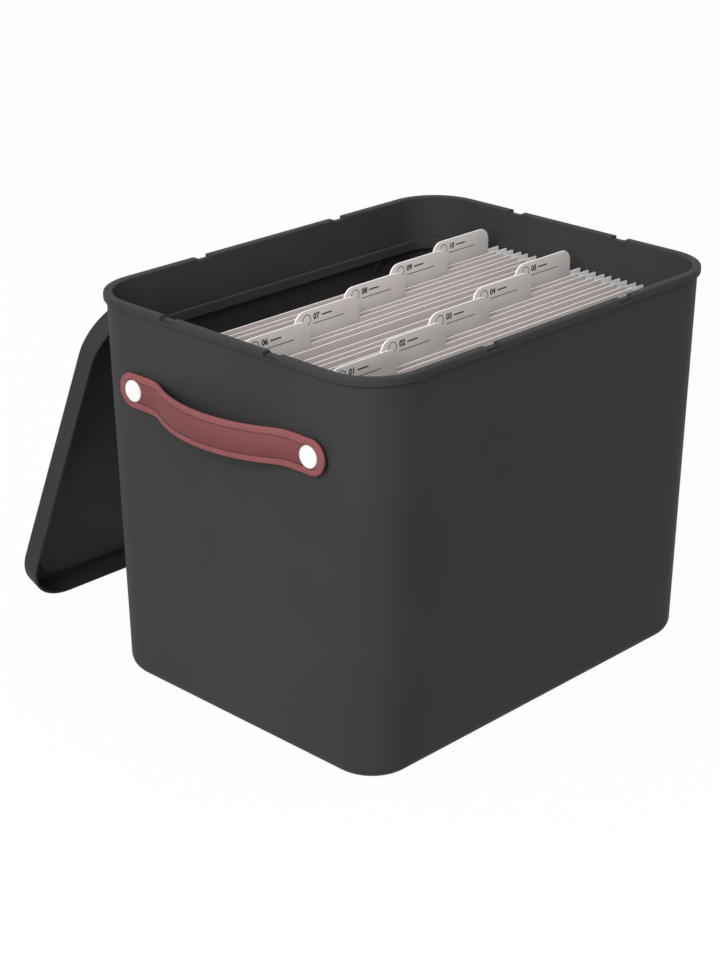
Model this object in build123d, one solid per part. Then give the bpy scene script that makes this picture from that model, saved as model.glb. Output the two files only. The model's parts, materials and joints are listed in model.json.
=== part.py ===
from build123d import *
from math import acos, atan, atan2, cos, degrees, hypot, sin, sqrt
import os

# A portable file box: a tapered plastic box with an inner hanging frame, ten hanging folders,
# two riveted strap handles and a lift-off lid that stands on its long edge against the back wall.
# Millimetres. +X runs along the box, +Y from its front long wall to its back one, +Z is up.
# The origin is the middle of the box's underside.

# Box
rim_length = 373.6          # outside of the rim along X
rim_width = 293.4           # outside of the rim along Y
box_height = 300.0
rim_height = 6.0
rim_overhang = 2.4          # how far the rim stands out over the wall
rim_thickness = 6.7         # seen from above
rim_corner_radius = 43.0
rim_rounding = 1.3
wall_lean = 6.4             # how far an outside wall comes in from the rim to the base
cavity_lean = 5.0           # the same on the inside
floor_thickness = 3.2
base_rounding = 12.0

# Eight notches in the rim that take the lugs of the lid
notch_width = 13.0
notch_depth = 1.9           # how far the rim's top is cut down
pocket_depth = 2.1          # how far the rim's outer face is cut back
pocket_floor_height = 2.4   # left standing under the pocket
notch_half_spacing_long = 71.5
notch_half_spacing_short = 52.0

# Hanging frame, a ring that sits on ribs of the box
hook_channel = 8.1          # from the inside of the rim to the outer face of an end rail
side_reach = 10.0           # from the inside of the rim to the frame's opening, along the long walls
rail_top_drop = 32.6        # from the rim's top to the rail's top
rail_height = 7.5
rail_thickness = 3.0
ledge_thickness = 2.5
rail_rounding = 0.9
frame_clearance = 0.2
rib_reach = 6.0
rib_height = 16.0
rib_thickness = 3.0
rib_half_spacing_long = 110.0
rib_washer_gap = 10.6       # from a rib on an end wall to the washer beside it

# Strap handles
handle_drop = 21.9          # from the frame's underside down to the rivets
strap_corner_margin = 0.9   # from the strap's end to where the wall starts to turn
strap_width = 26.4
strap_end_reach = 14.4      # from a rivet to the strap's end
strap_thickness = 2.4
spacer_height = 2.8         # ring under each end of the strap, that holds it off the wall
spacer_diameter = 15.6
strap_rise = 17.7           # how far the middle of the arch stands out past its feet
strap_foot_length = 16.0    # straight part of the strap, from the rivet inwards
strap_bend_radius = 35.0    # where it turns from its foot into its arch
strap_edge_rounding = 0.7
rivet_cap_diameter = 16.2
rivet_cap_height = 0.7      # above the strap
rivet_cap_depth = 0.7       # sunk into the strap
rivet_cap_clearance = 0.4
rivet_cap_rounding = 0.9
rivet_shank_diameter = 5.0
rivet_clearance = 0.12
rivet_tail_diameter = 7.6
rivet_tail_height = 1.4
washer_diameter = 13.0
washer_thickness = 1.3
washer_seat_gap = 0.05

# Lid
lid_clearance = 0.5
lid_wall = 2.1
lid_height = 17.0
lid_top_rounding = 3.5
lid_lip_rounding = 0.6
lid_panel_thickness = 2.0
lid_seat_drop = 2.0         # from under the panel down to the seat that lands on the rim
lid_seat_width = 1.0
recess_depth = 3.0          # stacking recess in the lid's top
recess_clearance = 1.2
recess_rounding = 1.4
lug_side_clearance = 0.75
lug_clearance = 0.4
lid_foot_distance = 125.5   # from the box's base to the lid's edge on the floor
lid_lean_gap = 0.4
lid_shift = 22.7            # the standing lid is not centred on the box

# Hanging folders
folder_count = 10
folders_in_group = 5
folder_pitch = 15.4
group_gap = 7.1             # wider step between the two groups
front_rear_bar_y = -81.3    # rear bar of the folder nearest the front wall
leaf_spacing = 8.6
sheet_rail_gap = 7.0        # from the card's side to the rail beside it
fold_floor_gap = 28.3       # from the card's fold to the box's floor
card_thickness = 0.3
tab_rise = 18.1
tab_corner_radius = 9.5
hook_reach = 3.8            # how far a bar's end stands past its rail
bar_thickness = 0.6
bar_height = 8.4
hook_neck_height = 3.4      # steel left over the notch that sits on the rail
hook_side_clearance = 0.7
hook_notch_rounding = 1.2
hook_tip_lift = 1.3         # the hook's tip stays this far over the ledge
hook_rounding = 1.0
hem_clearance = 0.1
hem_tail = 2.0              # glued strip of the hem under the bar
hem_rounding = 0.5

# Sizes that follow
wall_top = box_height - rim_height
outer_length = rim_length - 2 * rim_overhang
outer_width = rim_width - 2 * rim_overhang
outer_radius = rim_corner_radius - rim_overhang
wall_angle = degrees(atan(wall_lean / wall_top))
inner_length = rim_length - 2 * rim_thickness
inner_width = rim_width - 2 * rim_thickness
inner_radius = rim_corner_radius - rim_thickness
cavity_depth = box_height - floor_thickness
cavity_angle = degrees(atan(cavity_lean / cavity_depth))
base_length = outer_length - 2 * wall_lean
base_width = outer_width - 2 * wall_lean
base_radius = outer_radius - wall_lean
rail_spacing = inner_length - 2 * (hook_channel + rail_thickness)
frame_opening_width = inner_width - 2 * side_reach
frame_corner_radius = inner_radius - side_reach
rail_top = box_height - rail_top_drop
frame_bottom = rail_top - rail_height
ledge_top = frame_bottom + ledge_thickness
handle_height = frame_bottom - handle_drop
rivet_spacing = outer_width - 2 * (outer_radius + strap_corner_margin + strap_end_reach)
rib_half_spacing_short = (rivet_spacing - washer_diameter - rib_thickness) / 2 - rib_washer_gap
pocket_floor = wall_top + pocket_floor_height
lid_length = rim_length + 2 * (lid_clearance + lid_wall)
lid_width = rim_width + 2 * (lid_clearance + lid_wall)
lid_radius = rim_corner_radius + lid_clearance + lid_wall
lid_seat_depth = lid_height - lid_panel_thickness - lid_seat_drop
bar_length = rail_spacing + 2 * (rail_thickness + hook_reach)
bar_top = rail_top + hook_neck_height
hem_thickness = bar_thickness + 2 * (hem_clearance + card_thickness)
bar_bottom = bar_top - bar_height
sheet_top = bar_top + hem_clearance + card_thickness
hem_bottom = bar_bottom - hem_clearance - hem_tail
sheet_width = rail_spacing - 2 * sheet_rail_gap
sheet_bottom = floor_thickness + fold_floor_gap
tab_width = sheet_width / folders_in_group
rivet_seat = spacer_height + strap_thickness - rivet_cap_depth


def cavity_inset(z):
    """How far the inside wall has come in from its size at the rim."""
    return cavity_lean * (box_height - z) / cavity_depth


def wall_inset(z):
    """How far the outside wall has come in from its size under the rim."""
    return wall_lean * (wall_top - z) / wall_top


def tapered_block(length, width, radius, top, height, angle):
    outline = Plane.XY.offset(top) * RectangleRounded(length, width, radius)
    return extrude(outline, amount=height, dir=(0, 0, -1), taper=angle)


def straight_block(length, width, radius, bottom, height):
    return Pos(0, 0, bottom) * extrude(RectangleRounded(length, width, radius), amount=height)


def bottom_edges(shape):
    return shape.edges().group_by(Axis.Z)[0]


def top_edges(shape):
    return shape.edges().group_by(Axis.Z)[-1]


def around_the_box(long_side_part, half_spacing_long, short_side_part, half_spacing_short):
    """Two copies of a part on each long side, and two of another on each short side."""
    copies = []
    for turn in (0, 180):
        for place in (-half_spacing_long, half_spacing_long):
            copies.append(Rot(0, 0, turn) * Pos(place, 0, 0) * long_side_part)
        for place in (-half_spacing_short, half_spacing_short):
            copies.append(Rot(0, 0, turn) * Pos(0, place, 0) * short_side_part)
    return copies


# Box body

def box_shell():
    walls = tapered_block(outer_length, outer_width, outer_radius, wall_top, wall_top, wall_angle)
    walls = fillet(bottom_edges(walls), base_rounding)
    rim = straight_block(rim_length, rim_width, rim_corner_radius, wall_top, rim_height)
    rim = fillet(bottom_edges(rim) + top_edges(rim), rim_rounding)
    cavity = tapered_block(inner_length, inner_width, inner_radius, box_height, cavity_depth, cavity_angle)
    cavity = fillet(bottom_edges(cavity), base_rounding - floor_thickness)
    shell = walls + rim - cavity
    mouth = [edge for edge in top_edges(shell) if lies_within(edge, inner_length, inner_width)]
    return fillet(mouth, rim_rounding)


def lies_within(edge, length, width):
    box = edge.bounding_box()
    slack = rim_rounding / 2
    return (max(-box.min.X, box.max.X) < length / 2 + slack
            and max(-box.min.Y, box.max.Y) < width / 2 + slack)


def rim_notch(half_size):
    """Cutter for one notch in the rim's side at y = -half_size."""
    top_cut = Pos(0, -half_size, box_height) * Box(notch_width, 4 * rim_thickness, 2 * notch_depth)
    pocket_height = box_height - pocket_floor
    pocket = Pos(0, -half_size, box_height) * Box(notch_width, 2 * pocket_depth, 2 * pocket_height)
    return top_cut + pocket


def support_rib(half_size):
    """Gusset under the hanging frame, on the inside wall that meets the rim at y = -half_size."""
    root = rim_thickness / 4
    wall_y = cavity_inset(frame_bottom) - half_size
    foot_z = frame_bottom - rib_height
    foot_y = cavity_inset(foot_z) - half_size
    outline = Polyline((wall_y - root, frame_bottom), (wall_y + rib_reach, frame_bottom),
                       (wall_y + rib_reach, frame_bottom - rib_height / 4), (foot_y, foot_z),
                       (foot_y - root, foot_z), close=True)
    return extrude(Plane.YZ * make_face(outline), amount=rib_thickness / 2, both=True)


def make_box_body():
    notches = around_the_box(rim_notch(rim_width / 2), notch_half_spacing_long,
                             Rot(0, 0, -90) * rim_notch(rim_length / 2), notch_half_spacing_short)
    ribs = around_the_box(support_rib(inner_width / 2), rib_half_spacing_long,
                          Rot(0, 0, -90) * support_rib(inner_length / 2), rib_half_spacing_short)
    holes = [end_wall_place(side) * rivet_hole(along) for side in (-1, 1) for along in (-1, 1)]
    return box_shell() - notches + ribs - holes


# Hanging frame

def make_hanging_frame():
    inset = cavity_inset(frame_bottom) + frame_clearance
    ledge = straight_block(inner_length - 2 * inset, inner_width - 2 * inset, inner_radius - inset,
                           frame_bottom, ledge_thickness)
    rail = straight_block(rail_spacing + 2 * rail_thickness, frame_opening_width + 2 * rail_thickness,
                          frame_corner_radius + rail_thickness, frame_bottom, rail_height)
    opening = straight_block(rail_spacing, frame_opening_width, frame_corner_radius,
                             frame_bottom - rail_height, 3 * rail_height)
    frame = ledge + rail - opening
    return fillet(top_edges(frame), rail_rounding)


# Strap handles, drawn with the outside of their wall as the plane x = 0 and their rivets at z = 0

def end_wall_place(side):
    """Where a handle sits: on the wall at -X or +X, turned to lean with it."""
    wall_x = outer_length / 2 - wall_inset(handle_height)
    turn = 0 if side > 0 else 180
    return Rot(0, 0, turn) * Pos(wall_x, 0, handle_height) * Rot(0, wall_angle, 0)


def rivet_place(along):
    """On the strap's foot, with +Z pointing out of the wall."""
    return Pos(0, along * rivet_spacing / 2, 0) * Rot(0, 90, 0)


def rivet_hole(along):
    """Cutter through the wall and the strap, with a wider part that the cap sinks into."""
    hole = Cylinder(rivet_shank_diameter / 2 + rivet_clearance, 4 * rim_thickness)
    sink = extrude(Circle(rivet_cap_diameter / 2 + rivet_cap_clearance), amount=strap_thickness)
    return rivet_place(along) * (hole + Pos(0, 0, rivet_seat) * sink)


def strap_half_line():
    """Middle line of the strap from the top of its arch to its end: two arcs and a straight foot."""
    foot_start = rivet_spacing / 2 - strap_foot_length
    foot_x = spacer_height + strap_thickness / 2
    turn = 2 * atan2(strap_rise, foot_start)
    arch_radius = foot_start / sin(turn) - strap_bend_radius
    arch = JernArc((foot_x + strap_rise, 0), (0, 1), arch_radius, degrees(turn))
    bend = JernArc(arch @ 1, arch % 1, strap_bend_radius, -degrees(turn))
    foot = Line(bend @ 1, (foot_x, rivet_spacing / 2 + strap_end_reach))
    return arch + bend + foot


def make_strap(side):
    half = trace(strap_half_line(), strap_thickness)
    profile = half + mirror(half, Plane.XZ)
    band = extrude(profile, amount=strap_width / 2, both=True)
    outline = Rot(0, 90, 0) * Rot(0, 0, 90) * SlotOverall(rivet_spacing + 2 * strap_end_reach, strap_width)
    strap = band & extrude(outline, amount=2 * (spacer_height + strap_thickness + strap_rise))
    rims = strap.edges().filter_by(Axis.X, reverse=True).filter_by(Axis.Z, reverse=True)
    strap = fillet(rims, strap_edge_rounding)
    return end_wall_place(side) * (strap - [rivet_hole(along) for along in (-1, 1)])


def wall_thickness(z):
    return rim_thickness - rim_overhang + cavity_inset(z) - wall_inset(z)


def make_rivet(side, along):
    """White cap on the strap, a shank through the wall and a spread tail over the washer."""
    inner_end = wall_thickness(handle_height) + washer_seat_gap + washer_thickness
    cap = extrude(Circle(rivet_cap_diameter / 2), amount=rivet_cap_depth + rivet_cap_height)
    cap = Pos(0, 0, rivet_seat) * fillet(top_edges(cap), rivet_cap_rounding)
    shank = extrude(Circle(rivet_shank_diameter / 2), amount=inner_end + rivet_seat)
    shank = Pos(0, 0, -inner_end) * shank
    tail = extrude(Circle(rivet_tail_diameter / 2), amount=rivet_tail_height)
    tail = Pos(0, 0, -inner_end - rivet_tail_height) * fillet(bottom_edges(tail), rivet_tail_height / 2)
    return end_wall_place(side) * rivet_place(along) * (cap + shank + tail)


def make_spacer(side, along):
    """Ring between the wall and the strap."""
    ring = Circle(spacer_diameter / 2) - Circle(rivet_shank_diameter / 2 + rivet_clearance)
    return end_wall_place(side) * rivet_place(along) * extrude(ring, amount=spacer_height)


def make_washer(side, along):
    ring = Circle(washer_diameter / 2) - Circle(rivet_shank_diameter / 2 + rivet_clearance)
    seat = wall_thickness(handle_height) + washer_seat_gap
    washer = Pos(0, 0, -seat - washer_thickness) * extrude(ring, amount=washer_thickness)
    return end_wall_place(side) * rivet_place(along) * washer


# Lid, drawn as it lies when closed, with its lip at z = 0

def lid_lug(half_size):
    """Lug inside the skirt at y = -half_size that drops into a notch of the rim."""
    skirt_y = lid_clearance + half_size
    lug_depth = lid_clearance + pocket_depth - lug_clearance
    lug_bottom = lid_seat_depth - (box_height - pocket_floor) + lug_clearance
    lug_top = lid_height - lid_panel_thickness
    root = lid_wall / 2
    lug = Box(notch_width - 2 * lug_side_clearance, lug_depth + root, lug_top - lug_bottom)
    return Pos(0, -skirt_y + (lug_depth - root) / 2, (lug_bottom + lug_top) / 2) * lug


def stacking_recess():
    """Length, width and corner radius of the recess that takes the rounded base of another box."""
    setback = base_rounding - sqrt(base_rounding ** 2 - (base_rounding - recess_depth) ** 2)
    inset = setback - recess_clearance
    return base_length - 2 * inset, base_width - 2 * inset, base_radius - inset


def make_closed_lid():
    skirt_length = rim_length + 2 * lid_clearance
    skirt_width = rim_width + 2 * lid_clearance
    skirt_radius = rim_corner_radius + lid_clearance
    panel_z = lid_height - lid_panel_thickness
    outside = straight_block(lid_length, lid_width, lid_radius, 0, lid_height)
    outside = fillet(top_edges(outside), lid_top_rounding)
    skirt_room = straight_block(skirt_length, skirt_width, skirt_radius,
                                -lid_height, lid_height + lid_seat_depth)
    panel_room = straight_block(skirt_length - 2 * lid_seat_width, skirt_width - 2 * lid_seat_width,
                                skirt_radius - lid_seat_width, 0, panel_z)
    length, width, radius = stacking_recess()
    raised = straight_block(length + 2 * lid_panel_thickness, width + 2 * lid_panel_thickness,
                            radius + lid_panel_thickness, panel_z - recess_depth, recess_depth)
    raised = fillet(bottom_edges(raised), recess_rounding)
    recess = straight_block(length, width, radius, lid_height - recess_depth, lid_height)
    recess = fillet(bottom_edges(recess), recess_rounding)
    lid = outside - skirt_room - panel_room
    lid = fillet(bottom_edges(lid), lid_lip_rounding)
    lugs = around_the_box(lid_lug(rim_width / 2), notch_half_spacing_long,
                          Rot(0, 0, -90) * lid_lug(rim_length / 2), notch_half_spacing_short)
    return lid + raised + lugs - recess


def lid_lean_angle(foot_y):
    """Tilt of the standing lid, with its upper lip on the back wall or, if it is taller, across the rim."""
    slope = wall_lean / wall_top
    reach = foot_y - base_width / 2 - lid_lean_gap
    on_wall = atan(slope) + acos(reach / (lid_width * hypot(1, slope)))
    if lid_width * sin(on_wall) < wall_top:
        return on_wall
    return atan2(box_height, foot_y - rim_width / 2 - lid_lean_gap)


def make_lid():
    foot_y = base_width / 2 + lid_foot_distance
    lean = lid_lean_angle(foot_y)
    lip_gap = lid_lip_rounding * (sin(lean) + cos(lean) - 1)
    middle_y = foot_y - lid_width / 2 * cos(lean)
    middle_z = lid_width / 2 * sin(lean) - lip_gap
    return Pos(lid_shift, middle_y, middle_z) * Rot(-degrees(lean), 0, 0) * make_closed_lid()


# Hanging folders

def rear_bar_y(index):
    group = index // folders_in_group
    return front_rear_bar_y + index * folder_pitch + group * group_gap


def hem(bar_y):
    """Section of the card folded round one bar, and of the slot that the bar lies in."""
    outline = RectangleRounded(hem_thickness, sheet_top - hem_bottom, hem_rounding)
    slot = Rectangle(bar_thickness + 2 * hem_clearance, bar_height + 2 * hem_clearance)
    outline = Pos(bar_y, (sheet_top + hem_bottom) / 2) * outline
    return outline, Pos(bar_y, bar_bottom + bar_height / 2) * slot


def folded_leaves(front_y, rear_y):
    """Both leaves and the round fold between them, level with the front face of each hem."""
    middle_y = (front_y + rear_y) / 2
    fold_radius = (rear_y - front_y + card_thickness) / 2
    fold_z = sheet_bottom + fold_radius
    height = hem_bottom + hem_tail - fold_z
    shape = Circle(fold_radius) + Pos(0, height / 2) * Rectangle(2 * fold_radius, height)
    inside_radius = fold_radius - card_thickness
    inside = Circle(inside_radius) + Pos(0, height) * Rectangle(2 * inside_radius, 2 * height)
    return Pos(middle_y, fold_z) * (shape - inside)


def tab(index, rear_y):
    column = index % folders_in_group - (folders_in_group - 1) / 2
    height = sheet_top + tab_rise - hem_bottom
    outline = Pos(column * tab_width, hem_bottom + height / 2) * Rectangle(tab_width, height)
    outline = fillet(outline.vertices().group_by(Axis.Y)[-1], tab_corner_radius)
    face = Plane.XZ.offset(hem_thickness / 2 - rear_y) * outline
    return extrude(face, amount=card_thickness, dir=(0, 1, 0))


def make_sheet(index):
    rear_y = rear_bar_y(index)
    front_y = rear_y - leaf_spacing
    front_of_hem = (hem_thickness - card_thickness) / 2
    profile = folded_leaves(front_y - front_of_hem, rear_y - front_of_hem)
    for bar_y in (front_y, rear_y):
        outline, slot = hem(bar_y)
        profile = profile + outline - slot
    sheet = extrude(Plane.YZ * profile, amount=sheet_width / 2, both=True)
    return sheet + tab(index, rear_y)


def make_bar(bar_y):
    """Steel strip whose notched ends hang on the end rails of the frame."""
    middle_z = bar_bottom + bar_height / 2
    outline = Pos(0, middle_z) * RectangleRounded(bar_length, bar_height, hook_rounding)
    notch_size = rail_thickness + 2 * hook_side_clearance
    notch_x = (rail_spacing + rail_thickness) / 2
    notch_height = bar_height - hook_neck_height
    tip_x = (notch_x + notch_size / 2 + bar_length / 2) / 2
    tip_length = bar_length - 2 * tip_x
    tip_lift = ledge_top + hook_tip_lift - bar_bottom
    for side in (-1, 1):
        notch = RectangleRounded(notch_size, 2 * notch_height, hook_notch_rounding)
        outline -= Pos(side * notch_x, bar_bottom) * notch
        outline -= Pos(side * tip_x, bar_bottom) * Rectangle(tip_length, 2 * tip_lift)
    return extrude(Plane.XZ.offset(-bar_y) * outline, amount=bar_thickness / 2, both=True)


def side_name(side):
    return "left" if side < 0 else "right"


def make_nodes():
    yield "box_body", make_box_body()
    yield "hanging_frame", make_hanging_frame()
    yield "lid", make_lid()
    for side in (-1, 1):
        yield f"handle_strap_{side_name(side)}", make_strap(side)
        for along, row in ((-1, "front"), (1, "back")):
            turned = along * side
            yield f"strap_spacer_{side_name(side)}_{row}", make_spacer(side, turned)
            yield f"rivet_{side_name(side)}_{row}", make_rivet(side, turned)
            yield f"rivet_washer_{side_name(side)}_{row}", make_washer(side, turned)
    for index in range(folder_count):
        name = f"folder_{index + 1:02d}"
        rear_y = rear_bar_y(index)
        yield f"{name}_sheet", make_sheet(index)
        yield f"{name}_front_bar", make_bar(rear_y - leaf_spacing)
        yield f"{name}_rear_bar", make_bar(rear_y)


os.makedirs("parts", exist_ok=True)
for node, shape in make_nodes():
    shape.label = node
    export_step(shape, f"parts/{node}.step")
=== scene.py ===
import json
import math
import random

import bmesh
import bpy
from mathutils import Euler, Matrix, Vector

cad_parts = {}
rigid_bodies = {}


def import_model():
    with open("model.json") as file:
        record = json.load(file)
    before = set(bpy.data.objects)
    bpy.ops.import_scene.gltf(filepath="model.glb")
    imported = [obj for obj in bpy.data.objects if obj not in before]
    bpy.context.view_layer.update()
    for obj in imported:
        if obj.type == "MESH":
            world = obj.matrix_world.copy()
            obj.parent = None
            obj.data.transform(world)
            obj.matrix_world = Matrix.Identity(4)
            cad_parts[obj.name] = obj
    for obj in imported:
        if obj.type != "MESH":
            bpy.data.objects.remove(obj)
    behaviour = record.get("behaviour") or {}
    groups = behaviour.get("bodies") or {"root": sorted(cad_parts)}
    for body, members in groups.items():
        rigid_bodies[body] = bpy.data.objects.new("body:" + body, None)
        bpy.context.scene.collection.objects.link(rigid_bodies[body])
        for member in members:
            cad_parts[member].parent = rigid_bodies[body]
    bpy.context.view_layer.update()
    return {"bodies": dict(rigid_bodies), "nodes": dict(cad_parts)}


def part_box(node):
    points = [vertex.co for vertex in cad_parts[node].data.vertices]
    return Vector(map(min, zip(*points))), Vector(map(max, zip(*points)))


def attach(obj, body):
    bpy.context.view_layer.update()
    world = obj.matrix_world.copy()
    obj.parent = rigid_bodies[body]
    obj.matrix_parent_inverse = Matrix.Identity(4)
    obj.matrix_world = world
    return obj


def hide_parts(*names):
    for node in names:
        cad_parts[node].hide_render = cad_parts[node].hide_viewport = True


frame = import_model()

nodes = frame["nodes"]
folderNames = sorted(body for body in frame["bodies"] if body.startswith("folder_"))
near = 1e-5                  # places closer than this count as one place
random.seed(11)


# Hand tools: what a piece is picked, moved and finished with

def clearPick():
    bpy.ops.object.select_all(action="DESELECT")
    bpy.context.view_layer.objects.active = None


def grab(piece):
    clearPick()
    piece.select_set(True)
    bpy.context.view_layer.objects.active = piece


def named(name):
    # names the piece that was just added
    piece = bpy.context.object
    piece.name = name
    piece.data.name = name
    return piece


def edit(piece):
    grab(piece)
    bpy.ops.object.mode_set(mode="EDIT")


def done():
    bpy.ops.object.mode_set(mode="OBJECT")


def pick(kind, wanted=None):
    # in edit mode: picks the verts, edges or faces that pass the test, or all of them
    mesh = bmesh.from_edit_mesh(bpy.context.edit_object.data)
    bpy.ops.mesh.select_mode(type=kind)
    bpy.ops.mesh.select_all(action="DESELECT")
    group = {"VERT": mesh.verts, "EDGE": mesh.edges, "FACE": mesh.faces}[kind]
    for item in group:
        if wanted is None or wanted(item):
            item.select_set(True)
    mesh.select_flush_mode()
    bmesh.update_edit_mesh(bpy.context.edit_object.data)


def middleOf(line):
    return (line.verts[0].co + line.verts[1].co) / 2


def extruded(x, y, z):
    # in edit mode: draws out what is picked
    bpy.ops.mesh.extrude_region_move(TRANSFORM_OT_translate={"value": (x, y, z)})


def thickened(x, y, z):
    # in edit mode: makes a flat outline into a closed plate
    pick("FACE")
    extruded(x, y, z)
    pick("FACE")
    bpy.ops.mesh.normals_make_consistent(inside=False)


def applied(piece, kind, **settings):
    grab(piece)
    modifier = piece.modifiers.new(kind.title(), kind)
    for key, value in settings.items():
        setattr(modifier, key, value)
    bpy.ops.object.modifier_apply(modifier=modifier.name)


def settled(piece):
    # the place goes into the mesh, and the object stays at the origin
    grab(piece)
    bpy.ops.object.transform_apply(location=True, rotation=True, scale=True)
    return piece


def smoothed(piece, angle):
    grab(piece)
    bpy.ops.object.shade_smooth_by_angle(angle=math.radians(angle))


def copied(piece, name):
    twin = piece.copy()
    twin.data = piece.data.copy()
    twin.name = name
    twin.data.name = name
    bpy.context.scene.collection.objects.link(twin)
    return twin


def joined(piece, other):
    grab(piece)
    other.select_set(True)
    bpy.ops.object.join()


def covered(piece, material):
    piece.data.materials.clear()
    piece.data.materials.append(material)


# Shader tools

class Wire:
    # an output socket that can be written in sums
    def __init__(self, finish, socket):
        self.finish = finish
        self.socket = socket

    def __add__(self, other):
        return self.finish.maths("ADD", self, other)

    def __radd__(self, other):
        return self.finish.maths("ADD", other, self)

    def __sub__(self, other):
        return self.finish.maths("SUBTRACT", self, other)

    def __rsub__(self, other):
        return self.finish.maths("SUBTRACT", other, self)

    def __mul__(self, other):
        return self.finish.maths("MULTIPLY", self, other)

    def __rmul__(self, other):
        return self.finish.maths("MULTIPLY", other, self)


class Finish:
    # one material, with its shader and its output already joined
    def __init__(self, name, **constants):
        self.material = bpy.data.materials.new(name)
        self.material.use_nodes = True
        self.tree = self.material.node_tree
        self.tree.nodes.clear()
        self.shader = self.tree.nodes.new("ShaderNodeBsdfPrincipled")
        self.output = self.tree.nodes.new("ShaderNodeOutputMaterial")
        self.tree.links.new(self.shader.outputs[0], self.output.inputs[0])
        for socket, value in constants.items():
            self.shader.inputs[socket.replace("_", " ")].default_value = value

    def add(self, kind, settings=None, sockets=None, out=0):
        node = self.tree.nodes.new(kind)
        for key, value in (settings or {}).items():
            setattr(node, key, value)
        for key, value in (sockets or {}).items():
            self.join(value, node.inputs[key])
        return Wire(self, node.outputs[out])

    def join(self, value, socket):
        if isinstance(value, Wire):
            self.tree.links.new(value.socket, socket)
        else:
            socket.default_value = value

    def set(self, socket, value):
        self.join(value, self.shader.inputs[socket])

    def maths(self, operation, first, second):
        return self.add("ShaderNodeMath", {"operation": operation}, {0: first, 1: second})

    def place(self):
        return self.add("ShaderNodeTexCoord", out="Object")

    def stretched(self, scale):
        return self.add("ShaderNodeMapping", {}, {"Vector": self.place(), "Scale": scale})

    def noise(self, size, detail=3.0, where=None, rough=0.5):
        # size is the width of a blotch, in metres
        sockets = {"Vector": where or self.place(), "Scale": 1 / size}
        sockets.update({"Detail": detail, "Roughness": rough})
        return self.add("ShaderNodeTexNoise", {"noise_dimensions": "3D"}, sockets)

    def cells(self, size, feature="F1"):
        sockets = {"Vector": self.place(), "Scale": 1 / size}
        return self.add("ShaderNodeTexVoronoi", {"feature": feature}, sockets)

    def ramped(self, value, low, high):
        # 0 below low, 1 above high, with a soft rise
        sockets = {"Value": value, "From Min": low, "From Max": high}
        return self.add("ShaderNodeMapRange", {"interpolation_type": "SMOOTHSTEP"}, sockets)

    def mixed(self, amount, first, second):
        # sockets 6 and 7 are the two colours
        sockets = {"Factor": amount, 6: shade(first), 7: shade(second)}
        return self.add("ShaderNodeMix", {"data_type": "RGBA"}, sockets, out=2)

    def mark(self, name):
        return self.add("ShaderNodeAttribute", {"attribute_name": name}, out="Fac")

    def raised(self, height, depth):
        sockets = {"Height": height, "Distance": depth, "Strength": 1.0}
        return self.add("ShaderNodeBump", {}, sockets)


def shade(colour):
    # a colour socket takes four values
    return colour if isinstance(colour, Wire) else (*colour, 1.0)


# Finishes: two tones or more mixed in blotches, an uneven roughness and a fine relief

charcoal = {
    "colour": (0.042, 0.042, 0.0425),
    "cloud": (0.038, 0.038, 0.0385),
    "cloudSize": 0.07,
    "cloudEdges": (0.35, 0.65),
    "roughness": 0.56,
    "grainRoughness": 0.08,
    "cloudRoughness": 0.04,
    "sheen": 0.12,
    "grainSize": 0.0007,
    "sparkSize": 0.00119,
    "sparkShare": 0.6,
    "grainDepth": 0.00002,
    "lidShade": 0.84,         # the lid's plastic is painted a little darker than the box's, as painted shade
}


def charcoalPlastic(name, shadeFactor=1.0):
    finish = Finish(name, IOR=1.46, Specular_IOR_Level=charcoal["sheen"])
    # shadeFactor darkens both tones, as painted shade
    dark, light = ([value * shadeFactor for value in charcoal[key]] for key in ("cloud", "colour"))
    cloud = finish.ramped(finish.noise(charcoal["cloudSize"], 2.0), *charcoal["cloudEdges"])
    finish.set("Base Color", finish.mixed(cloud, dark, light))
    grain = finish.noise(charcoal["grainSize"], 2.0)
    rough = charcoal["roughness"] + charcoal["grainRoughness"] * grain
    finish.set("Roughness", rough + charcoal["cloudRoughness"] * cloud)
    sparks = finish.cells(charcoal["sparkSize"])
    relief = grain + charcoal["sparkShare"] * sparks
    finish.set("Normal", finish.raised(relief, charcoal["grainDepth"]))
    return finish.material


rose = {
    "colour": (0.262, 0.085, 0.089),
    "pores": (0.168, 0.046, 0.049),
    # painted shade for the sunk field
    "shadedField": (0.184, 0.054, 0.057),
    # painted shade for the groove round the field and the cap pockets
    "grooveShade": (0.115, 0.034, 0.037),
    "poreShare": 0.35,
    "poreEdges": (0.35, 0.75),
    "cloudShare": 0.12,
    "cloudSize": 0.012,
    "cloudEdges": (0.3, 0.7),
    "roughness": 0.6,
    "poreRoughness": 0.06,
    "fineRoughness": 0.08,
    "sheen": 0.25,
    "pebbleSize": 0.0009,
    "fineSize": 0.0003,
    "fineShare": 0.25,
    "grainDepth": 0.00005,
}


def roseLeather(name):
    finish = Finish(name, IOR=1.45, Specular_IOR_Level=rose["sheen"])
    pebble = finish.cells(rose["pebbleSize"], "SMOOTH_F1")
    fine = finish.noise(rose["fineSize"])
    cloud = finish.ramped(finish.noise(rose["cloudSize"]), *rose["cloudEdges"])
    pore = finish.ramped(pebble, *rose["poreEdges"])
    # the sunk field is painted darker than the border, as painted shade
    face = finish.mixed(finish.mark("shadedField"), rose["colour"], rose["shadedField"])
    dull = rose["poreShare"] * pore + rose["cloudShare"] * cloud
    face = finish.mixed(dull, face, rose["pores"])
    # the groove round the field and the cap pockets are painted dark, as painted shade
    face = finish.mixed(finish.mark("grooveShade"), face, rose["grooveShade"])
    finish.set("Base Color", face)
    smooth = rose["roughness"] - rose["poreRoughness"] * pore
    finish.set("Roughness", smooth + rose["fineRoughness"] * fine)
    finish.set("Normal", finish.raised(rose["fineShare"] * fine - pebble, rose["grainDepth"]))
    return finish.material


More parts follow.
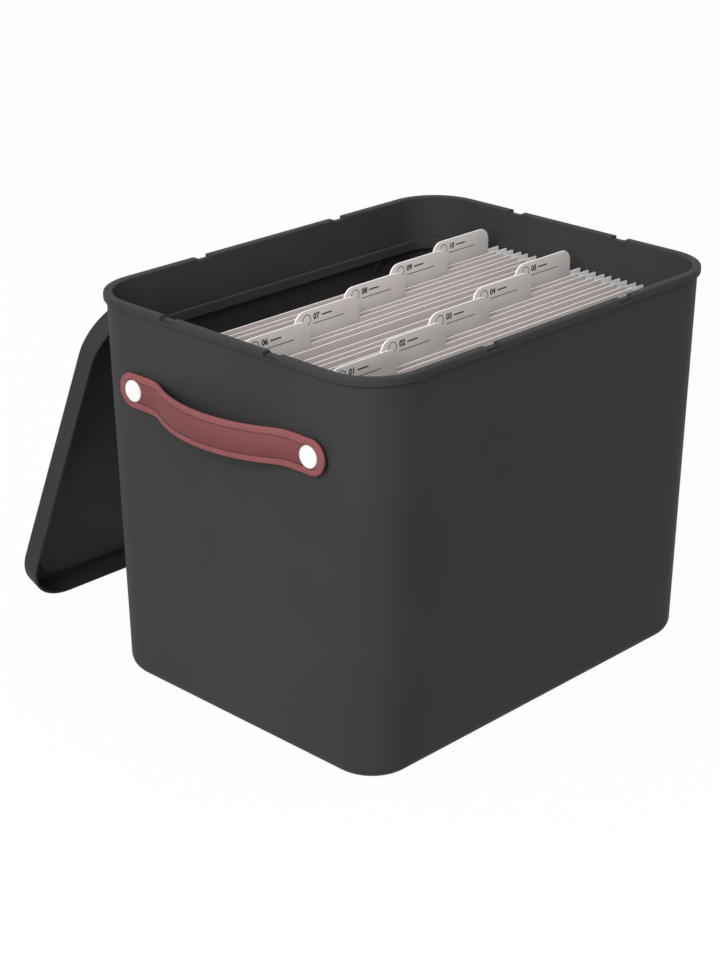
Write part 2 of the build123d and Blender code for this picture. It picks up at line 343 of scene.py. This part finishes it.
enamel = {
    "colour": (0.89, 0.89, 0.89),
    "cloud": (0.85, 0.85, 0.85),
    "cloudSize": 0.004,
    "roughness": 0.3,
    "grainRoughness": 0.06,
    "grainSize": 0.0006,
    "waveDepth": 0.00004,
}


def whiteCap(name):
    finish = Finish(name, IOR=1.49)
    cloud = finish.noise(enamel["cloudSize"], 2.0)
    finish.set("Base Color", finish.mixed(cloud, enamel["cloud"], enamel["colour"]))
    grain = finish.noise(enamel["grainSize"])
    finish.set("Roughness", enamel["roughness"] + enamel["grainRoughness"] * grain)
    finish.set("Normal", finish.raised(cloud, enamel["waveDepth"]))
    return finish.material


zinc = {
    "colour": (0.62, 0.62, 0.63),
    "dull": (0.5, 0.5, 0.51),
    "roughness": 0.3,
    "lineRoughness": 0.15,
    "lineSize": 0.0005,
    "lineStretch": (1.0, 1.0, 6.0),
    "lineDepth": 0.00001,
}


def zincWasher(name):
    finish = Finish(name, Metallic=1.0)
    turned = finish.noise(zinc["lineSize"], 2.0, finish.stretched(zinc["lineStretch"]))
    finish.set("Base Color", finish.mixed(turned, zinc["dull"], zinc["colour"]))
    finish.set("Roughness", zinc["roughness"] + zinc["lineRoughness"] * turned)
    finish.set("Normal", finish.raised(turned, zinc["lineDepth"]))
    return finish.material


lacquer = {
    "colour": (0.97, 0.98, 0.97),
    "dull": (0.9, 0.91, 0.9),
    "dustShare": 0.5,
    "dustSize": 0.006,
    "dustEdges": (0.35, 0.7),
    "streakShare": 0.3,
    "streakSize": 0.0008,
    "streakStretch": (0.12, 1.0, 1.0),
    "streakDepth": 0.00001,
    "roughness": 0.36,
    "streakRoughness": 0.12,
    "sheen": 0.8,
}


def greyLacquer(name):
    finish = Finish(name, IOR=1.5, Specular_IOR_Level=lacquer["sheen"])
    streak = finish.noise(lacquer["streakSize"], 3.0, finish.stretched(lacquer["streakStretch"]))
    dust = finish.ramped(finish.noise(lacquer["dustSize"]), *lacquer["dustEdges"])
    worn = lacquer["dustShare"] * dust + lacquer["streakShare"] * streak
    finish.set("Base Color", finish.mixed(worn, lacquer["colour"], lacquer["dull"]))
    finish.set("Roughness", lacquer["roughness"] + lacquer["streakRoughness"] * streak)
    finish.set("Normal", finish.raised(streak, lacquer["streakDepth"]))
    return finish.material


paper = {
    "colour": (0.61, 0.55, 0.532),
    "fibre": (0.55, 0.495, 0.478),
    "tabColour": (0.705, 0.657, 0.633),
    "tabFibre": (0.637, 0.591, 0.569),
    # pale flecks and the card's pale core at cut edges, and the painted highlight on hem crests
    "palePaperAndHighlight": (0.95, 0.9, 0.88),
    "fibreSize": 0.0006,
    "fibreStretch": (0.35, 1.0, 1.0),
    "fibreShare": 0.55,
    "cloudSize": 0.018,
    "cloudEdges": (0.3, 0.7),
    "cloudShare": 0.2,
    "fleckSize": 0.0011,
    "fleckEdges": (0.62, 0.7),
    "fleckShare": 0.12,
    "paleMarkSize": 0.003,
    "paleMarkShare": 0.25,        # how much of the painted highlight and the pale edges comes and goes along them
    "roughness": 0.78,
    "fibreRoughness": 0.1,
    "cloudRelief": 0.3,
    "fibreDepth": 0.00003,
}


def foldedCard(name):
    finish = Finish(name, IOR=1.4)
    fibres = finish.noise(paper["fibreSize"], 4.0, finish.stretched(paper["fibreStretch"]), 0.6)
    cloud = finish.ramped(finish.noise(paper["cloudSize"]), *paper["cloudEdges"])
    flecks = finish.ramped(finish.noise(paper["fleckSize"], 2.0), *paper["fleckEdges"])
    spread = paper["fibreShare"] * fibres + paper["cloudShare"] * cloud
    leafFace = finish.mixed(spread, paper["colour"], paper["fibre"])
    tabFace = finish.mixed(spread, paper["tabColour"], paper["tabFibre"])
    face = finish.mixed(finish.mark("tab"), leafFace, tabFace)
    face = finish.mixed(paper["fleckShare"] * flecks, face, paper["palePaperAndHighlight"])
    # hem crests get a painted highlight; cut edges and tab rims get the pale core with painted
    # highlight
    patchyPale = 1 - paper["paleMarkShare"] + paper["paleMarkShare"] * finish.noise(paper["paleMarkSize"])
    finish.set("Base Color", finish.mixed(finish.mark("paleEdgeAndHighlight") * patchyPale, face, paper["palePaperAndHighlight"]))
    finish.set("Roughness", paper["roughness"] + paper["fibreRoughness"] * fibres)
    finish.set("Normal", finish.raised(fibres + paper["cloudRelief"] * cloud, paper["fibreDepth"]))
    return finish.material


blackInk = {
    "colour": (0.016, 0.013, 0.013),
    "worn": (0.04, 0.034, 0.034),
    "wornSize": 0.0004,
    "roughness": 0.55,
    "wornRoughness": 0.2,
    "wornDepth": 0.00001,
}


def printInk(name):
    finish = Finish(name, IOR=1.45)
    worn = finish.noise(blackInk["wornSize"])
    finish.set("Base Color", finish.mixed(worn, blackInk["colour"], blackInk["worn"]))
    finish.set("Roughness", blackInk["roughness"] + blackInk["wornRoughness"] * worn)
    finish.set("Normal", finish.raised(worn, blackInk["wornDepth"]))
    return finish.material


plastic = charcoalPlastic("charcoalPlastic")
# the lid gets a darker copy of the same plastic, as painted shade
lidShadedPlastic = charcoalPlastic("lidShadedPlastic", charcoal["lidShade"])
leather = roseLeather("roseLeather")
capWhite = whiteCap("capWhite")
washerZinc = zincWasher("zincWasher")
barGrey = greyLacquer("barGrey")
cardGrey = foldedCard("cardGrey")
ink = printInk("ink")
nodeFinishes = {
    "box_body": plastic, "hanging_frame": plastic, "strap_spacer": plastic, "lid": lidShadedPlastic,
    "rivet_left": capWhite, "rivet_right": capWhite, "rivet_washer": washerZinc, "_bar": barGrey,
}
for node, piece in nodes.items():
    for part, material in nodeFinishes.items():
        if part in node:
            piece.material_slots[0].material = material
print("finishes made")


# Strap handles: modelled flat, then bent along the arch and laid on the wall

strap = {
    "width": 0.0264,
    "thickness": 0.0024,
    "endReach": 0.0144,
    "spacerHeight": 0.0028,  # from the wall to the strap's back at its feet
    "rise": 0.0177,
    "footLength": 0.016,
    "bendRadius": 0.035,
    "edgeRounding": 0.0007,
    "edgeSteps": 3,
    "border": 0.0034,        # flat part of the raised border, inside its rounding
    "shoulder": 0.0004,
    "grooveDepth": 0.00055,
    "grooveWidth": 0.00025,
    "fieldLift": 0.0003,     # how far the field rises again inside the groove
    "fieldEnd": 0.9,         # width of the field at the rivets, as a share of its full width
    "fieldTaper": 0.06,
    "grooveShadeInset": 0.002,      # nothing nearer to the strap's outline than this gets the painted groove shade
    "backSkin": 0.0005,      # nothing nearer to the strap's back than this gets the painted groove shade
    "capRoom": 0.0007,       # gap round the cap, where it is sunk into the leather
    "capDepth": 0.0008,
    "capSteps": 72,
    "roundSteps": 46,        # sides of the circle that the round ends are made of
    "archSteps": 24,
    "cuts": 64,
    "smoothAngle": 50,
}


def archLine(spacing):
    # points of the strap's middle line, from one end to the other, as (along, away from the wall)
    start = spacing / 2 - strap["footLength"]
    turn = 2 * math.atan2(strap["rise"], start)
    bend = strap["bendRadius"]
    archRadius = start / math.sin(turn) - bend
    foot = strap["spacerHeight"] + strap["thickness"] / 2
    top = foot + strap["rise"]
    steps = strap["archSteps"]
    points = []
    for step in range(steps + 1):
        angle = turn * step / steps
        points.append((archRadius * math.sin(angle), top - archRadius * (1 - math.cos(angle))))
    for step in range(1, steps + 1):
        angle = turn * (1 - step / steps)
        points.append((start - bend * math.sin(angle), foot + bend * (1 - math.cos(angle))))
    points.append((spacing / 2 + strap["endReach"], foot))
    mirrored = [(-along, away) for along, away in reversed(points[1:])]
    return mirrored + points


def lineLength(points):
    return sum(math.dist(a, b) for a, b in zip(points, points[1:]))


def flatStrap(span):
    # span is the distance from the middle to the centre of each round end
    half = strap["thickness"] / 2
    clearPick()
    bpy.ops.mesh.primitive_circle_add(vertices=strap["roundSteps"], radius=strap["width"] / 2,
                                      fill_type="NGON", location=(0, 0, -half))
    blank = settled(named("strapBlank"))
    edit(blank)
    for side in (-1, 1):
        pick("VERT", lambda v: v.co.x * side > 0)
        bpy.ops.transform.translate(value=(side * span, 0, 0))
    thickened(0, 0, strap["thickness"])
    pick("EDGE", lambda e: abs(abs(middleOf(e).z) - half) < near)
    bpy.ops.mesh.bevel(offset=strap["edgeRounding"], segments=strap["edgeSteps"], profile=0.5)
    for cut in range(1, strap["cuts"]):
        pick("FACE")
        place = (2 * cut / strap["cuts"] - 1) * span
        bpy.ops.mesh.bisect(plane_co=(place, 0, 0), plane_no=(1, 0, 0))
    pick("FACE", lambda f: f.normal.z > 0.99 and f.calc_center_median().z > half - near)
    bpy.ops.mesh.inset(thickness=strap["border"], depth=0)
    shapeField(span)
    bpy.ops.mesh.inset(thickness=strap["shoulder"], depth=-strap["grooveDepth"])
    bpy.ops.mesh.inset(thickness=strap["grooveWidth"], depth=0)
    bpy.ops.mesh.inset(thickness=strap["shoulder"], depth=strap["fieldLift"])
    done()
    return blank


def shapeField(span):
    # the picked faces narrow a little towards the rivets, and end round in their pockets
    mesh = bmesh.from_edit_mesh(bpy.context.edit_object.data)
    rivetPlace = capPlace(span)
    picked = {v for f in mesh.faces if f.select for v in f.verts}
    for vert in picked:
        along = abs(vert.co.x)
        if along > span:
            along = rivetPlace + (along - span) * strap["fieldEnd"]
        else:
            along = along * rivetPlace / span
        reach = (along - (rivetPlace - strap["fieldTaper"])) / strap["fieldTaper"]
        reach = min(max(reach, 0), 1)
        vert.co.x = math.copysign(along, vert.co.x)
        vert.co.y *= 1 - (1 - strap["fieldEnd"]) * reach * reach * (3 - 2 * reach)
    bmesh.update_edit_mesh(bpy.context.edit_object.data)


def capPlace(span):
    return span + strap["width"] / 2 - strap["endReach"]


def sunkCaps(blank, span, capRadius):
    # a round pocket under each cap
    for side in (-1, 1):
        clearPick()
        place = (side * capPlace(span), 0, strap["thickness"] / 2)
        bpy.ops.mesh.primitive_cylinder_add(vertices=strap["capSteps"], location=place,
                                            radius=capRadius + strap["capRoom"],
                                            depth=2 * strap["capDepth"])
        cutter = settled(named("capCutter"))
        applied(blank, "BOOLEAN", operation="DIFFERENCE", object=cutter, solver="EXACT")
        bpy.data.objects.remove(cutter)


def markField(piece, span):
    # marks that the leather reads: the points of the sunk field, which is painted darker as painted
    # shade, and the faces of the groove round it and of the pockets, which are painted dark as
    # painted shade
    top = strap["thickness"] / 2
    fieldHeight = top - strap["grooveDepth"] + strap["fieldLift"]
    shadedField = piece.data.attributes.new("shadedField", "FLOAT", "POINT")
    for number, vert in enumerate(piece.data.vertices):
        shadedField.data[number].value = 1.0 if abs(vert.co.z - fieldHeight) < near else 0.0
    grooveShade = piece.data.attributes.new("grooveShade", "FLOAT", "FACE")
    for number, face in enumerate(piece.data.polygons):
        x, y, z = face.center
        inset = strap["width"] / 2 - math.hypot(max(abs(x) - span, 0), y)
        between = strap["backSkin"] - top < z < top - 2 * near
        sunk = between and abs(z - fieldHeight) > near
        grooveShade.data[number].value = 1.0 if sunk and inset > strap["grooveShadeInset"] else 0.0


def bentStrap(blank, points):
    curve = bpy.data.curves.new("archLine", "CURVE")
    curve.dimensions = "2D"
    line = curve.splines.new("POLY")
    line.points.add(len(points) - 1)
    for knot, (along, away) in zip(line.points, points):
        knot.co = (along, away, 0, 1)
    rail = bpy.data.objects.new("archLine", curve)
    bpy.context.scene.collection.objects.link(rail)
    blank.rotation_euler = Euler((-math.pi / 2, 0, 0))   # the outside turns from +Z to +Y
    blank.location = (lineLength(points) / 2, 0, 0)
    settled(blank)
    applied(blank, "CURVE", object=rail, deform_axis="POS_X")
    bpy.data.objects.remove(rail)
    bpy.data.curves.remove(curve)


def makeStraps():
    low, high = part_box("handle_strap_right")
    front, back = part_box("rivet_right_front"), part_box("rivet_right_back")
    spacing = abs((back[0].y + back[1].y) - (front[0].y + front[1].y)) / 2
    capRadius = (front[1].y - front[0].y) / 2
    points = archLine(spacing)
    span = (lineLength(points) - strap["width"]) / 2
    blank = flatStrap(span)
    sunkCaps(blank, span, capRadius)
    markField(blank, span)
    bentStrap(blank, points)
    rounding = strap["edgeRounding"]
    depth = strap["rise"] + strap["thickness"] - 2 * rounding
    wallLean = math.asin((high.z - low.z - strap["width"]) / depth)
    lift = math.sin(wallLean)
    for side, node in ((1, "handle_strap_right"), (-1, "handle_strap_left")):
        piece = copied(blank, node.replace("handle_strap_", "leatherStrap_"))
        wallX = low.x - strap["spacerHeight"] + (strap["width"] / 2 - rounding) * lift
        middleZ = high.z - strap["width"] / 2 + (strap["spacerHeight"] + rounding) * lift
        lay = Matrix.Rotation(0 if side > 0 else math.pi, 4, "Z")
        lay = lay @ Matrix.Translation((wallX, 0, middleZ)) @ Matrix.Rotation(wallLean, 4, "Y")
        piece.matrix_world = lay @ Matrix.Rotation(-math.pi / 2, 4, "Z")
        settled(piece)
        smoothed(piece, strap["smoothAngle"])
        covered(piece, leather)
        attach(piece, "box")
        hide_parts(node)
    bpy.data.objects.remove(blank)


makeStraps()
print("straps made")


# Folded cards: one strip run round both bars and the bottom fold, copied for each folder

card = {
    "thickness": 0.0003,
    "hemHalf": 0.0007,
    "hemFlat": 0.0004,       # flat crest of the hem, over the bar
    "hemSteps": 4,
    "flapDrop": 0.009,       # from the crest down to where the flap slopes in under the bar
    "flapSlope": 0.0022,
    "flapStep": 1.04,        # from the leaf to its glued flap, in thicknesses of the card
    "glueStrip": 0.006,
    "foldSteps": 14,
    "leafCuts": 8,
    "acrossCuts": 12,
    "bow": 0.0009,
    "bowLeast": 0.3,         # bow of the stiffest leaf, as a share of the most bowed one
    "bowSkew": 0.06,
    "bowSides": 0.4,         # share of a leaf's bow that is left at its sides
    "bowStretch": 1.04,      # the bow fades out a little before the leaf's top
    "bowPower": 1.5,         # above 1, the bow gathers at mid-height
    "bowBelow": 0.02,        # the leaves hang straight from the hem down to here
    "tabsInRow": 5,
    "tabRise": 0.0181,
    "tabRadius": 0.0095,
    "tabCornerSteps": 12,
    "tabOverlap": 0.009,
    "tabFootRadius": 0.0015,
    "tabFoot": 0.0004,       # thickness where it is slipped into the hem
    "tabHead": 0.0013,       # thickness above the hem, where it is folded double
    "tabStep": 0.0003,       # height over the hem at which it thickens
    "tabProud": 0.0003,      # how far the tab stands out in front of the hem
    "tabEdge": 0.00025,
    "edgeAngle": 0.8,
    "crestDepth": 0.001,     # how far down the hem's crest is painted pale, as painted highlight
    "smoothAngle": 40,
}


def turnRound(along, up, angle, steps):
    bpy.ops.mesh.spin(steps=steps, angle=math.radians(angle), center=(0, along, up), axis=(1, 0, 0))


def overBar(barY, turnZ, way):
    # from one side of a bar over its top to the other, as two tight turns with a flat between them
    flat = way * card["hemFlat"]
    turnRound(barY - flat / 2, turnZ, way * 90, card["hemSteps"])
    extruded(0, flat, 0)
    turnRound(barY + flat / 2, turnZ, way * 90, card["hemSteps"])


def cardStrip(width, leafGap, hemTop, foldLow):
    # the rear bar is at y 0, and the strip starts on the glued flap behind the front bar
    sheet = card["thickness"]
    half = card["hemHalf"] - sheet / 2
    turnZ = hemTop - sheet / 2 - half + card["hemFlat"] / 2
    flapTop = hemTop - card["flapDrop"]
    glued = half - card["flapStep"] * sheet
    clearPick()
    bpy.ops.mesh.primitive_plane_add(size=1, location=(0, 0, 0))
    strip = named("cardStrip")
    strip.scale = (width, 1, 1)
    settled(strip)
    edit(strip)
    pick("VERT", lambda v: v.co.y > 0)
    bpy.ops.mesh.delete(type="VERT")
    pick("VERT")
    startZ = flapTop - card["flapSlope"] - card["glueStrip"]
    bpy.ops.transform.translate(value=(0, 0.5 - leafGap - glued, startZ))
    pick("EDGE")
    extruded(0, 0, card["glueStrip"])
    extruded(0, half + glued, card["flapSlope"])
    extruded(0, 0, turnZ - flapTop)
    overBar(-leafGap, turnZ, -1)
    foldRadius = leafGap / 2
    foldZ = foldLow + sheet / 2 + foldRadius
    leafStep = (foldZ - turnZ) / card["leafCuts"]
    for step in range(card["leafCuts"]):
        extruded(0, 0, leafStep)
    turnRound(-half - foldRadius, foldZ, -180, card["foldSteps"])
    for step in range(card["leafCuts"]):
        extruded(0, 0, -leafStep)
    overBar(0, turnZ, 1)
    extruded(0, 0, flapTop - turnZ)
    extruded(0, -half - glued, -card["flapSlope"])
    extruded(0, 0, -card["glueStrip"])
    for cut in range(1, card["acrossCuts"]):
        pick("FACE")
        place = width * (cut / card["acrossCuts"] - 0.5)
        bpy.ops.mesh.bisect(plane_co=(place, 0, 0), plane_no=(1, 0, 0))
    done()
    return strip


def tabPlate(width, hemTop):
    # a stiff plate that stands up from just under the hem's front face
    high = hemTop + card["tabRise"]
    low = hemTop - card["tabOverlap"]
    front = -card["hemHalf"] - card["tabProud"]
    step = hemTop + card["tabStep"]
    clearPick()
    bpy.ops.mesh.primitive_plane_add(size=1, location=(0, front, (high + low) / 2),
                                     rotation=(math.pi / 2, 0, 0))
    plate = named("tabPlate")
    plate.scale = (width, high - low, 1)
    settled(plate)
    edit(plate)
    pick("VERT", lambda v: v.co.z > high - near)
    bpy.ops.mesh.bevel(offset=card["tabRadius"], segments=card["tabCornerSteps"], profile=0.5,
                       affect="VERTICES")
    pick("VERT", lambda v: v.co.z < low + near)
    bpy.ops.mesh.bevel(offset=card["tabFootRadius"], segments=4, profile=0.5, affect="VERTICES")
    pick("FACE")
    bpy.ops.mesh.bisect(plane_co=(0, 0, step), plane_no=(0, 0, 1))
    thickened(0, card["tabFoot"], 0)
    pick("VERT", lambda v: v.co.z > step - near and v.co.y > front + near)
    bpy.ops.transform.translate(value=(0, card["tabHead"] - card["tabFoot"], 0))
    pick("EDGE", isTabEdge)
    bpy.ops.mesh.bevel(offset=card["tabEdge"], segments=3, profile=0.5)
    done()
    return plate


def isTabEdge(line):
    # lies along the front or the back face, and is sharp
    level = abs(line.verts[0].co.y - line.verts[1].co.y) < near / 10
    return level and line.calc_face_angle(0) > card["edgeAngle"]


def bowed(piece, width, low, high, leafGap):
    # stiff card never hangs quite flat: each leaf bellies a little, most at its middle
    amounts = [random.uniform(card["bowLeast"], 1.0) * card["bow"] for side in range(2)]
    skew = random.uniform(-card["bowSkew"], card["bowSkew"])
    for vert in piece.data.vertices:
        height = (vert.co.z - low) / (high - low)
        if 0 < height < 1:
            front = vert.co.y < -leafGap / 2 - card["hemHalf"]
            across = math.cos(math.pi * (vert.co.x / width) * (1 + skew))
            across = card["bowSides"] + (1 - card["bowSides"]) * across
            risen = math.pi * min(height * card["bowStretch"], 1)
            belly = math.sin(risen) ** card["bowPower"] * across
            vert.co.y += (-1 if front else 1) * amounts[0 if front else 1] * belly


def markTab(piece, value):
    # 1 on a tab, 0 on a leaf
    mark = piece.data.attributes.new("tab", "FLOAT", "POINT")
    mark.data.foreach_set("value", [value] * len(piece.data.vertices))


def markPaleEdgesAndHighlights(piece, hemTop):
    # the crest of each hem is painted pale as a painted highlight; the cut edges and the tab's rim
    # are painted pale, partly as the card's pale core and partly as painted highlight
    mark = piece.data.attributes.new("paleEdgeAndHighlight", "FLOAT", "FACE")
    for number, face in enumerate(piece.data.polygons):
        height = face.center.z - hemTop
        side = abs(face.normal.x) > 0.8
        crest = height > -card["crestDepth"] and abs(face.normal.y) < 0.5
        tabRim = height > card["crestDepth"] and abs(face.normal.y) < 0.97
        mark.data[number].value = 1.0 if side or crest or tabRim else 0.0


def barPlace(folder, side):
    low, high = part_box(folder + "_" + side + "_bar")
    return (low.y + high.y) / 2


def makeCards():
    low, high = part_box(folderNames[0] + "_sheet")
    leafGap = barPlace(folderNames[0], "rear") - barPlace(folderNames[0], "front")
    width = high.x - low.x
    tabWidth = width / card["tabsInRow"]
    hemTop = high.z - card["tabRise"]
    strip = cardStrip(width, leafGap, hemTop, low.z)
    plate = tabPlate(tabWidth, hemTop)
    for number, folder in enumerate(folderNames):
        rearY = barPlace(folder, "rear")
        tabX = (number % card["tabsInRow"] - (card["tabsInRow"] - 1) / 2) * tabWidth
        leaf = copied(strip, "card" + folder[-3:])
        bowed(leaf, width, low.z, hemTop - card["bowBelow"], leafGap)
        applied(leaf, "SOLIDIFY", thickness=card["thickness"], offset=0, use_even_offset=True)
        tab = copied(plate, "tab" + folder[-3:])
        tab.location.x = tabX
        settled(tab)
        markTab(leaf, 0.0)
        markTab(tab, 1.0)
        joined(leaf, tab)
        markPaleEdgesAndHighlights(leaf, hemTop)
        leaf.location.y = rearY
        settled(leaf)
        smoothed(leaf, card["smoothAngle"])
        covered(leaf, cardGrey)
        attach(leaf, folder)
        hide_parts(folder + "_sheet")
        printTab(folder, number, tabX - tabWidth / 2, rearY, hemTop)
    bpy.data.objects.remove(strip)
    bpy.data.objects.remove(plate)


tabMarks = {
    "ringRadius": 0.0042,
    "ringPlace": (0.0116, 0.0112),   # from the tab's left side, and up from the hem
    "ringLine": 0.0006,
    "ringSteps": 40,
    "numberHeight": 0.0041,
    "numberLeft": 0.0182,
    "numberBase": 0.0104,
    "numberWeight": 0.00026,
    "numberShare": 0.69,             # height of a digit, as a share of the type's size
    "rules": (                       # left end, right end, height over the hem, thickness
        (0.0262, 0.0370, 0.0121, 0.0011),
        (0.0182, 0.0490, 0.0072, 0.0006),
    ),
    "ruleRounding": 0.48,            # of its thickness
    "inkDepth": 0.00002,
    "inkStand": 0.00003,             # from the tab's face to where the print starts
}


def printTab(folder, number, tabLeft, rearY, hemTop):
    # a plain ring, a plain number and two writing lines
    clearPick()
    bpy.ops.object.text_add(location=(0, 0, 0))
    text = bpy.context.object
    text.data.body = f"{number + 1:02d}"
    text.data.size = tabMarks["numberHeight"] / tabMarks["numberShare"]
    text.data.offset = tabMarks["numberWeight"]
    text.data.extrude = tabMarks["inkDepth"] / 2
    bpy.ops.object.convert(target="MESH")
    figure = named("tabPrint" + folder[-3:])
    figure.rotation_euler = Euler((math.pi / 2, 0, 0))
    figure.location = (tabMarks["numberLeft"], 0, tabMarks["numberBase"])
    settled(figure)
    for mark in [ruleMark(*values) for values in tabMarks["rules"]] + [ringMark()]:
        edit(mark)
        thickened(0, tabMarks["inkDepth"], 0)
        done()
        joined(figure, mark)
    face = rearY - card["hemHalf"] - card["tabProud"]
    figure.location = (tabLeft, face - tabMarks["inkStand"], hemTop)
    settled(figure)
    covered(figure, ink)
    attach(figure, folder)


def ruleMark(left, right, up, thick):
    clearPick()
    bpy.ops.mesh.primitive_plane_add(size=1, location=((left + right) / 2, 0, up),
                                     rotation=(math.pi / 2, 0, 0))
    rule = named("rule")
    rule.scale = (right - left, thick, 1)
    settled(rule)
    edit(rule)
    pick("VERT")
    bpy.ops.mesh.bevel(offset=thick * tabMarks["ruleRounding"], segments=3, profile=0.5,
                       affect="VERTICES")
    done()
    return rule


def ringMark():
    across, up = tabMarks["ringPlace"]
    clearPick()
    bpy.ops.mesh.primitive_circle_add(vertices=tabMarks["ringSteps"], fill_type="NGON",
                                      radius=tabMarks["ringRadius"], location=(across, 0, up),
                                      rotation=(math.pi / 2, 0, 0))
    ring = settled(named("ring"))
    edit(ring)
    pick("FACE")
    bpy.ops.mesh.inset(thickness=tabMarks["ringLine"], depth=0)
    bpy.ops.mesh.delete(type="FACE")
    done()
    return ring


makeCards()
print("cards made")


# Stage: pale floor, soft light, and the camera

stage = {
    "floorSize": 14.0,
    "floorDrop": 0.0002,
    "floorColour": (0.22, 0.22, 0.22),
    "floorRoughness": 0.9,
    "floorGlow": 0.86,       # share of plain white that the camera sees in the floor
    "floorWhite": 1.12,
    "skyLight": 0.49,        # of the sky that lights the box
    "skyWhite": 1.0,         # of the sky that is seen behind it
    "lamps": {
        "keyLamp": {"place": (-2.9, -0.9, 1.8), "size": 2.4, "power": 103.0},
        "frontLamp": {"place": (0.0, -3.2, 2.0), "size": 2.6, "power": 9.0},
        "topLamp": {"place": (-0.2, -0.7, 3.4), "size": 2.6, "power": 12.0},
    },
    "lampAim": (0, 0, 0.15),
    "cameraPlace": (-1.1139, -1.0429, 0.7823),
    "yaw": 45.585,
    "pitch": 22.876,
    "roll": -0.127,
    "lens": 82.213,
    "filmWidth": 36,
    "farthest": 50,
}


def seenRays(tree):
    # 1 for what is looked at, also in a mirror or through glass, and 0 for light on its way
    rays = tree.nodes.new("ShaderNodeLightPath")
    seen = rays.outputs["Is Camera Ray"]
    for kind in ("Is Glossy Ray", "Is Transmission Ray"):
        either = tree.nodes.new("ShaderNodeMath")
        either.operation = "MAXIMUM"
        tree.links.new(seen, either.inputs[0])
        tree.links.new(rays.outputs[kind], either.inputs[1])
        seen = either.outputs[0]
    return seen


def paleFloor():
    # grey where it lights the box from below, and nearly white where it is seen
    finish = Finish("floorWhite", Roughness=stage["floorRoughness"])
    finish.set("Base Color", shade(stage["floorColour"]))
    glow = finish.tree.nodes.new("ShaderNodeEmission")
    glow.inputs["Color"].default_value = (1, 1, 1, 1)
    glow.inputs["Strength"].default_value = stage["floorWhite"]
    blend = finish.tree.nodes.new("ShaderNodeMixShader")
    seen = Wire(finish, seenRays(finish.tree))
    finish.join(seen * stage["floorGlow"], blend.inputs["Fac"])
    finish.tree.links.new(finish.shader.outputs[0], blend.inputs[1])
    finish.tree.links.new(glow.outputs[0], blend.inputs[2])
    finish.tree.links.new(blend.outputs[0], finish.output.inputs[0])
    clearPick()
    bpy.ops.mesh.primitive_plane_add(size=stage["floorSize"], location=(0, 0, -stage["floorDrop"]))
    floor = settled(named("floor"))
    floor.data.materials.append(finish.material)


def whiteRoom():
    # a dim sky lights the box, and plain white is seen behind it
    world = bpy.data.worlds.new("whiteRoom")
    world.use_nodes = True
    tree = world.node_tree
    tree.nodes.clear()
    blend = tree.nodes.new("ShaderNodeMixShader")
    tree.links.new(seenRays(tree), blend.inputs["Fac"])
    for number, strength in ((1, stage["skyLight"]), (2, stage["skyWhite"])):
        sky = tree.nodes.new("ShaderNodeBackground")
        sky.inputs["Color"].default_value = (1, 1, 1, 1)
        sky.inputs["Strength"].default_value = strength
        tree.links.new(sky.outputs[0], blend.inputs[number])
    output = tree.nodes.new("ShaderNodeOutputWorld")
    tree.links.new(blend.outputs[0], output.inputs["Surface"])
    bpy.context.scene.world = world


def hangLamps():
    for name, values in stage["lamps"].items():
        clearPick()
        bpy.ops.object.light_add(type="AREA", location=values["place"])
        lamp = bpy.context.object
        lamp.name = name
        lamp.data.shape = "DISK"
        lamp.data.size = values["size"]
        lamp.data.energy = values["power"]
        aim = Vector(stage["lampAim"]) - lamp.location
        lamp.rotation_euler = aim.to_track_quat("-Z", "Y").to_euler()


def placeCamera():
    yaw, pitch, roll = (math.radians(stage[turn]) for turn in ("yaw", "pitch", "roll"))
    level = Vector((math.cos(yaw), -math.sin(yaw), 0))
    ahead = Vector((math.sin(yaw), math.cos(yaw), 0)) * math.cos(pitch)
    ahead -= Vector((0, 0, math.sin(pitch)))
    above = level.cross(ahead)
    right = level * math.cos(roll) + above * math.sin(roll)
    up = above * math.cos(roll) - level * math.sin(roll)
    view = Matrix((right, up, -ahead)).transposed().to_4x4()
    clearPick()
    bpy.ops.object.camera_add(location=stage["cameraPlace"])
    camera = bpy.context.object
    camera.matrix_world = Matrix.Translation(stage["cameraPlace"]) @ view
    camera.data.sensor_width = stage["filmWidth"]
    camera.data.lens = stage["lens"]
    camera.data.clip_end = stage["farthest"]
    bpy.context.scene.camera = camera


paleFloor()
whiteRoom()
hangLamps()
placeCamera()
bpy.context.scene.view_settings.view_transform = "Standard"
print("stage set")
